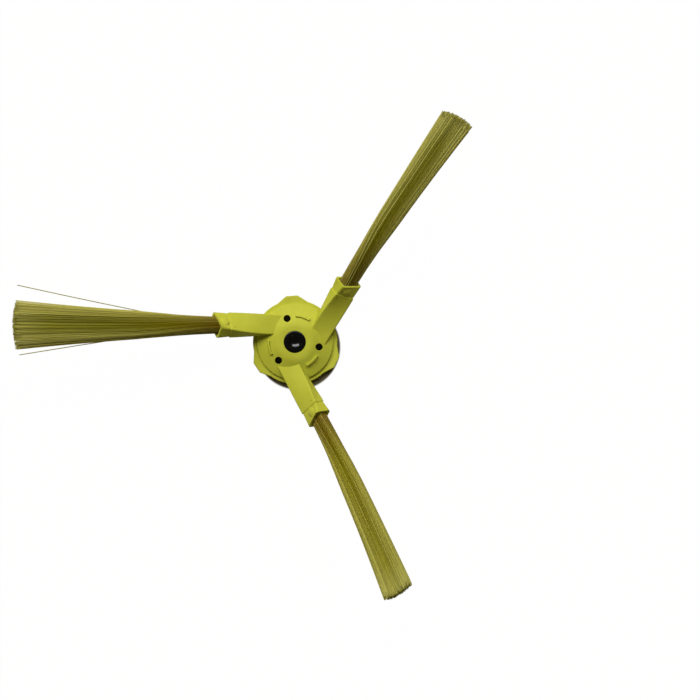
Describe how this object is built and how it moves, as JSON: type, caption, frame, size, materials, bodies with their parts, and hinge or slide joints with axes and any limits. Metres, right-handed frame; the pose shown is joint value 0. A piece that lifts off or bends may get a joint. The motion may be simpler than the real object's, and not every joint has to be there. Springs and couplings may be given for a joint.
{
  "type": "robot vacuum side brush",
  "caption": "Side brush for a robot vacuum: a flanged lime plastic hub with twisted arms that rise outwards and end in collars, each holding a long fanned bristle tuft, around a black drive bush.",
  "frame": {"origin": "on the spin axis, at the mouth of the drive socket, in the plane of the mounting face that the brush rests on", "axes": "+Z along the spin axis, away from the machine; the first arm points along -X"},
  "size_m": [0.1382, 0.1457, 0.0317],
  "materials": {
    "lime_plastic": "satin moulded lime plastic",
    "black_plastic": "glossy black plastic",
    "bristle_nylon": "translucent olive nylon filament"
  },
  "bodies": {
    "root": {"hub_moulding": "lime_plastic", "drive_bush": "black_plastic", "bristle_tuft_1": "bristle_nylon", "bristle_tuft_2": "bristle_nylon", "bristle_tuft_3": "bristle_nylon"}
  },
  "joints": []
}
